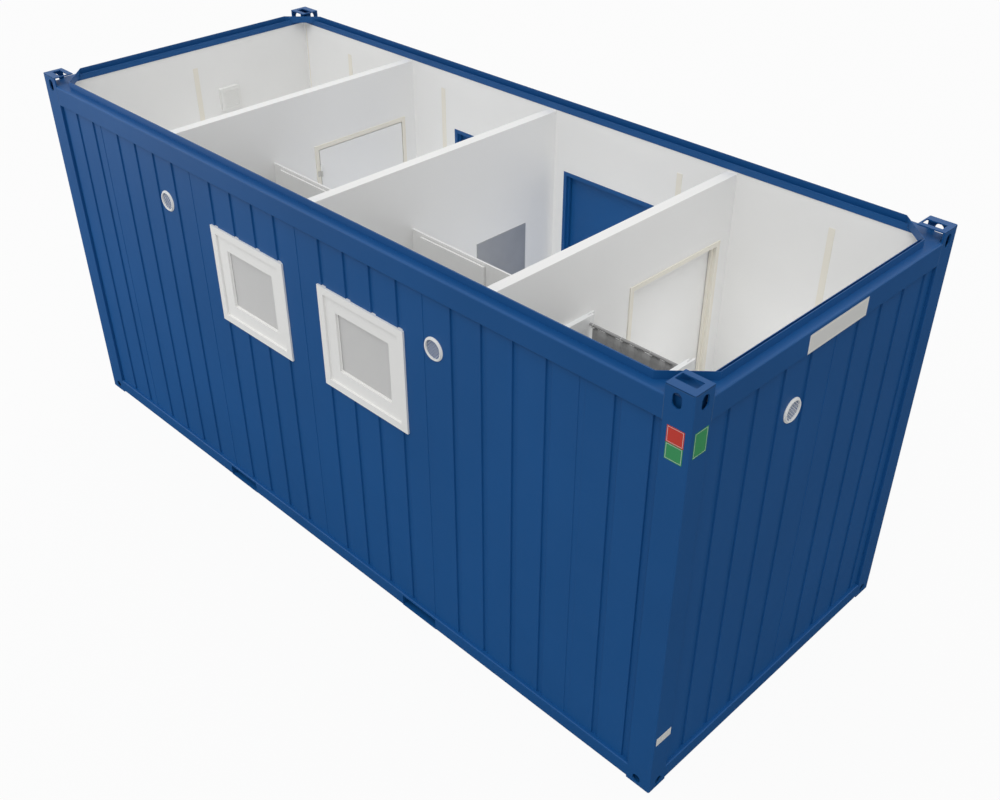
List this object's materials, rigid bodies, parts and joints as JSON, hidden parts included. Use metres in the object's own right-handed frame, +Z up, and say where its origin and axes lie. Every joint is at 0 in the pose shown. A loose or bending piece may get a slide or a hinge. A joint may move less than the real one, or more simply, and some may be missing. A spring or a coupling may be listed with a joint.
{
  "type": "sanitary container",
  "caption": "Blue steel sanitary container with its roof left off, showing washrooms, toilet cubicles and a shower, with hinged entrance, passage and cubicle doors.",
  "frame": {"origin": "centre of the footprint at ground level", "axes": "+X along the length towards the end with the shower, +Y towards the wall with the two entrance doors, +Z up"},
  "size_m": [6.055, 2.435, 2.8],
  "materials": {
    "blue_paint": "satin paint on steel",
    "blue_steel": "satin paint on rolled and welded steel",
    "white_lining": "satin white coated lining board",
    "white_partition": "satin white coated partition panel",
    "cream_trim": "satin cream paint",
    "white_leaf": "satin white coated door leaf",
    "floor_cover": "matte vinyl floor cover",
    "cubicle_board": "satin laminate board",
    "shower_panel": "smooth plastic shower panel",
    "white_plastic": "smooth white plastic",
    "frosted_glass": "frosted double pane",
    "mirror": "silvered glass",
    "steel": "brushed stainless steel",
    "hinge_steel": "zinc-plated steel",
    "curtain_cloth": "grey woven polyester"
  },
  "bodies": {
    "cabin": {"lower_castings": "blue_steel", "upper_castings": "blue_steel", "casting_tops": "blue_steel", "corner_posts": "blue_steel", "base_long_rails": "blue_steel", "base_end_rails": "blue_steel", "fork_plates": "blue_steel", "fork_sides": "blue_steel", "floor_bearers": "blue_steel", "floor_deck": "floor_cover", "roof_long_rails": "blue_steel", "roof_end_rails": "blue_steel", "roof_upstands": "blue_steel", "roof_corners": "blue_steel", "front_cladding": "blue_paint", "front_lining": "white_lining", "rear_cladding": "blue_paint", "rear_cladding_headers": "blue_paint", "rear_lining": "white_lining", "rear_lining_headers": "white_lining", "end_claddings": "blue_paint", "end_linings": "white_lining", "partition_panels": "white_partition", "partition_headers": "white_partition", "entrance_jambs": "blue_paint", "entrance_rails": "blue_paint", "passage_jambs": "cream_trim", "passage_heads": "cream_trim", "fixed_hinges": "hinge_steel", "cubicle_boards": "cubicle_board", "cubicle_heads": "cubicle_board", "shower_walls": "shower_panel", "curtain_rail": "steel", "curtain": "curtain_cloth", "mirror_glass": "mirror", "fan_housings": "white_plastic", "window_casings": "white_plastic", "window_sashes": "white_plastic", "window_panes": "frosted_glass", "vent_covers": "white_plastic", "joint_strips": "cream_trim"},
    "entrance_door_left": {"entrance_leaf_left": "blue_paint", "entrance_handle_left": "steel"},
    "entrance_door_right": {"entrance_leaf_right": "blue_paint", "entrance_handle_right": "steel"},
    "passage_door_left": {"passage_leaf_left": "white_leaf", "passage_handle_left": "steel"},
    "passage_door_right": {"passage_leaf_right": "white_leaf", "passage_handle_right": "steel"},
    "cubicle_door_left": {"cubicle_leaf_left": "cubicle_board", "cubicle_knob_left": "steel"},
    "cubicle_door_right": {"cubicle_leaf_right": "cubicle_board", "cubicle_knob_right": "steel"}
  },
  "joints": [
    {"name": "entrance_left_swing", "type": "hinge", "parent": "cabin", "child": "entrance_door_left", "pos_m": [-1.0075, 1.2075, 0.36], "axis": [0, 0, 1], "range_deg": [0, 110]},
    {"name": "entrance_right_swing", "type": "hinge", "parent": "cabin", "child": "entrance_door_right", "pos_m": [1.0075, 1.2075, 0.36], "axis": [0, 0, -1], "range_deg": [0, 110]},
    {"name": "passage_left_swing", "type": "hinge", "parent": "cabin", "child": "passage_door_left", "pos_m": [-1.5005, 0.136, 0.36], "axis": [0, 0, -1], "range_deg": [0, 90]},
    {"name": "passage_right_swing", "type": "hinge", "parent": "cabin", "child": "passage_door_right", "pos_m": [1.5095, 0.136, 0.36], "axis": [0, 0, 1], "range_deg": [0, 90]},
    {"name": "cubicle_left_swing", "type": "hinge", "parent": "cabin", "child": "cubicle_door_left", "pos_m": [-1.4285, -0.2915, 0.51], "axis": [0, 0, -1], "range_deg": [0, 90]},
    {"name": "cubicle_right_swing", "type": "hinge", "parent": "cabin", "child": "cubicle_door_right", "pos_m": [0.1275, -0.2915, 0.51], "axis": [0, 0, -1], "range_deg": [0, 90]}
  ]
}
